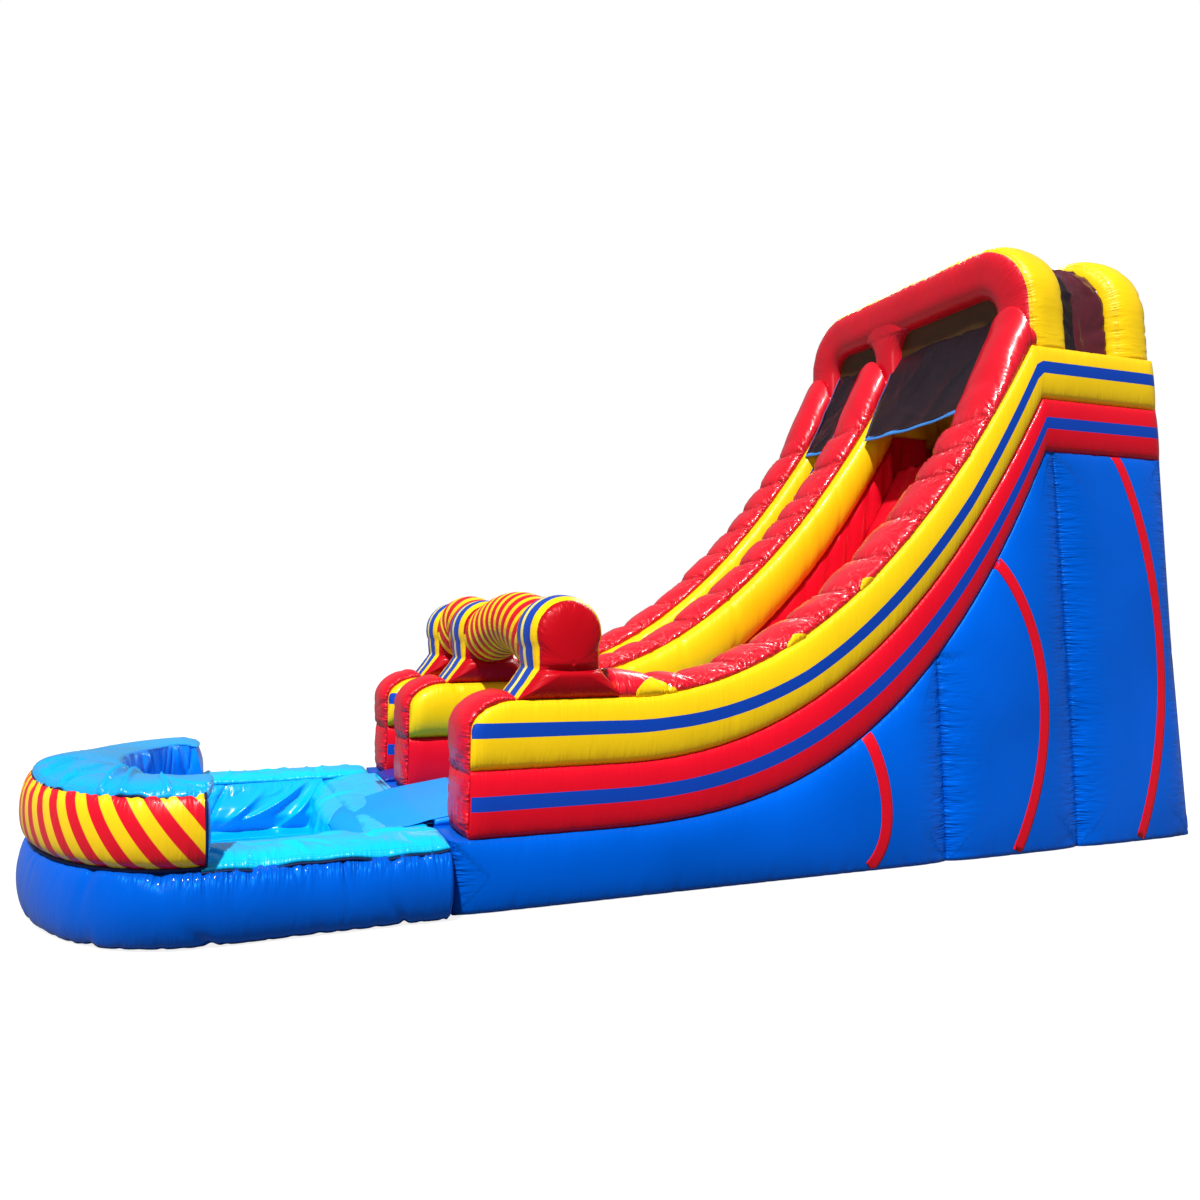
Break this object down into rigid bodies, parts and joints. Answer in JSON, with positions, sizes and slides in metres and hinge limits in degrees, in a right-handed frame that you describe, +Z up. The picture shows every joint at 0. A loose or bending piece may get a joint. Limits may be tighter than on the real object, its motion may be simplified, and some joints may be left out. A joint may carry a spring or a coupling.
{
  "type": "inflatable water slide",
  "caption": "Air-filled water slide with a slide lane, a narrow climbing lane with footholds, a meshed platform on top and a separate splash pool at the foot",
  "frame": {"origin": "on the ground, under the middle of the whole object's plan, pool and blower sleeve included", "axes": "+X runs from the splash pool to the tower's back, +Y from the slide lane to the climbing lane, +Z up"},
  "size_m": [9.3553, 3.67, 5.26],
  "materials": {
    "royal_blue_vinyl": "gloss",
    "blue_webbing": "matt",
    "red_vinyl": "gloss",
    "yellow_vinyl": "gloss",
    "light_blue_vinyl": "gloss",
    "dark_mesh": "matt",
    "black_webbing": "matt",
    "steel": "polished"
  },
  "bodies": {
    "slide": {"anchor_tab_1": "black_webbing", "anchor_tab_2": "black_webbing", "back_wall_red": "red_vinyl", "back_wall_yellow": "yellow_vinyl", "base_front": "royal_blue_vinyl", "base_middle": "royal_blue_vinyl", "base_rear": "royal_blue_vinyl", "blower_sleeve": "royal_blue_vinyl", "climb_bed": "royal_blue_vinyl", "climb_lane_tube": "yellow_vinyl", "climb_net": "dark_mesh", "climb_net_webbing": "blue_webbing", "climb_step_1": "red_vinyl", "climb_step_2": "red_vinyl", "climb_step_3": "red_vinyl", "climb_step_4": "red_vinyl", "climb_step_5": "red_vinyl", "climb_step_6": "red_vinyl", "climb_window_mesh": "dark_mesh", "cover_batten": "royal_blue_vinyl", "far_column": "red_vinyl", "far_wall_bolster": "red_vinyl", "far_wall_cap": "red_vinyl", "far_wall_red": "red_vinyl", "far_wall_yellow": "yellow_vinyl", "header_arch": "red_vinyl", "middle_column": "red_vinyl", "middle_wall_bolster": "red_vinyl", "middle_wall_cap": "red_vinyl", "middle_wall_red": "red_vinyl", "middle_wall_yellow": "yellow_vinyl", "near_column": "red_vinyl", "near_wall_bolster": "red_vinyl", "near_wall_cap": "red_vinyl", "near_wall_red": "red_vinyl", "near_wall_yellow": "yellow_vinyl", "platform_deck": "red_vinyl", "rear_arch": "yellow_vinyl", "rear_mesh": "dark_mesh", "roof_mesh": "dark_mesh", "slide_bed": "light_blue_vinyl", "slide_lane_tube": "yellow_vinyl", "slide_net": "dark_mesh", "slide_net_webbing": "blue_webbing", "slide_window_mesh": "dark_mesh", "splash_apron": "light_blue_vinyl", "zip_tape": "black_webbing"},
    "pool": {"pool_wall": "royal_blue_vinyl", "bumper_wall": "red_vinyl", "bumper_lining": "light_blue_vinyl", "bumper_top": "light_blue_vinyl", "pool_rim_near": "light_blue_vinyl", "pool_rim_far": "light_blue_vinyl", "pool_tray": "light_blue_vinyl", "pool_rear_wall": "light_blue_vinyl"},
    "ring_1": {"anchor_ring_1": "steel"},
    "ring_2": {"anchor_ring_2": "steel"},
    "zip_pull": {"zip_slider": "steel"},
    "zip_flap": {"zip_cover": "royal_blue_vinyl"}
  },
  "joints": [
    {"name": "pool_pull_away", "type": "slide", "parent": "slide", "child": "pool", "axis": [-1, 0, 0], "range_m": [0, 0.6]},
    {"name": "anchor_ring_1_hinge", "type": "hinge", "parent": "slide", "child": "ring_1", "pos_m": [4.35135, -1.42, 0.14], "axis": [0, -1, 0], "range_deg": [0, 150]},
    {"name": "anchor_ring_2_hinge", "type": "hinge", "parent": "slide", "child": "ring_2", "pos_m": [4.35135, 1.42, 0.14], "axis": [0, -1, 0], "range_deg": [0, 150]},
    {"name": "zip_slider_travel", "type": "slide", "parent": "slide", "child": "zip_pull", "axis": [0, 0, -1], "range_m": [0, 0.56]},
    {"name": "zip_cover_hinge", "type": "hinge", "parent": "slide", "child": "zip_flap", "pos_m": [4.37365, -0.92, 1.15], "axis": [0, -1, 0], "range_deg": [0, 80]}
  ]
}
